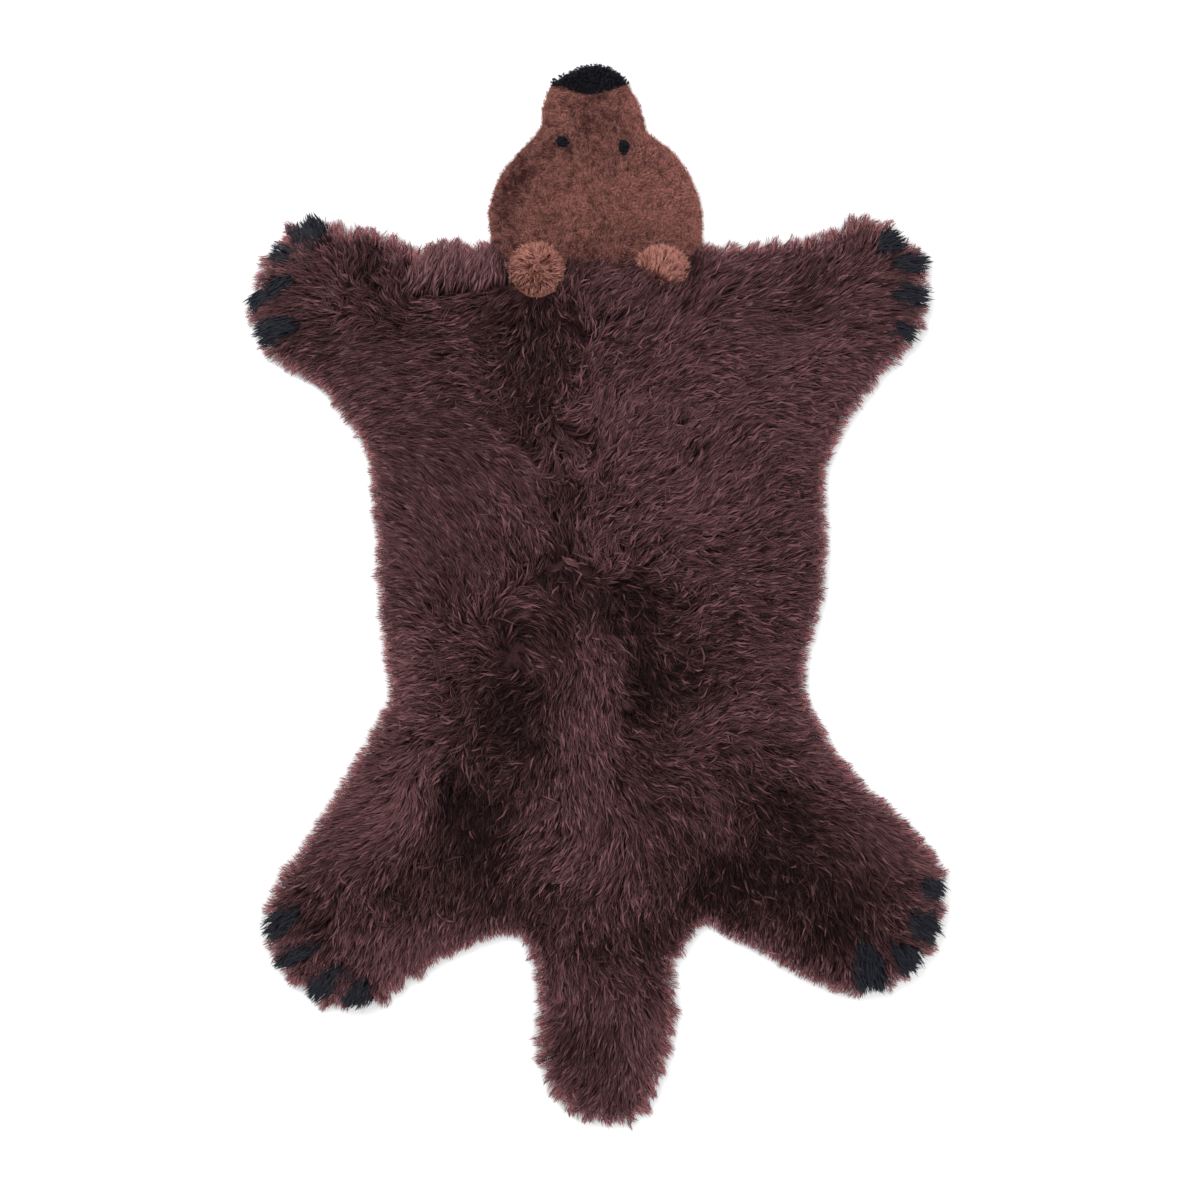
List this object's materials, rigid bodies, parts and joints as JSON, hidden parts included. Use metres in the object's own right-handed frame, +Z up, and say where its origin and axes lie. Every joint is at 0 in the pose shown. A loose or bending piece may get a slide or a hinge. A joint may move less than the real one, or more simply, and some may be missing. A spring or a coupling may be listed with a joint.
{
  "type": "bear shaped kids rug",
  "caption": "Bear-shaped long-wool sheepskin rug lying flat, with a shorn head, tufted ears, black nose, eyes and claws. It covers the floor of a child's room.",
  "frame": {"origin": "on the floor under the middle of the rug's bounding box", "axes": "+Z up out of the wool, +Y towards the nose, +X towards the right-hand paws as seen from above"},
  "size_m": [0.7996, 1.204, 0.0492],
  "materials": {
    "long_wool": "long dyed sheepskin wool, combed in locks",
    "combed_wool": "long dyed sheepskin wool, combed straight",
    "shorn_wool": "dyed sheepskin shorn to a short velvety pile",
    "ear_wool": "half-long dyed wool in a round tuft",
    "black_wool": "black dyed wool"
  },
  "bodies": {
    "root": {"body": "long_wool", "shoulder_strip": "combed_wool", "head": "shorn_wool", "nose": "black_wool", "eye_left": "black_wool", "eye_right": "black_wool", "ear_left": "ear_wool", "ear_right": "ear_wool", "claw_front_left_1": "black_wool", "claw_front_left_2": "black_wool", "claw_front_left_3": "black_wool", "claw_front_left_4": "black_wool", "claw_front_right_1": "black_wool", "claw_front_right_2": "black_wool", "claw_front_right_3": "black_wool", "claw_front_right_4": "black_wool", "claw_hind_left_1": "black_wool", "claw_hind_left_2": "black_wool", "claw_hind_left_3": "black_wool", "claw_hind_left_4": "black_wool", "claw_hind_right_1": "black_wool", "claw_hind_right_2": "black_wool", "claw_hind_right_3": "black_wool", "claw_hind_right_4": "black_wool"}
  },
  "joints": []
}
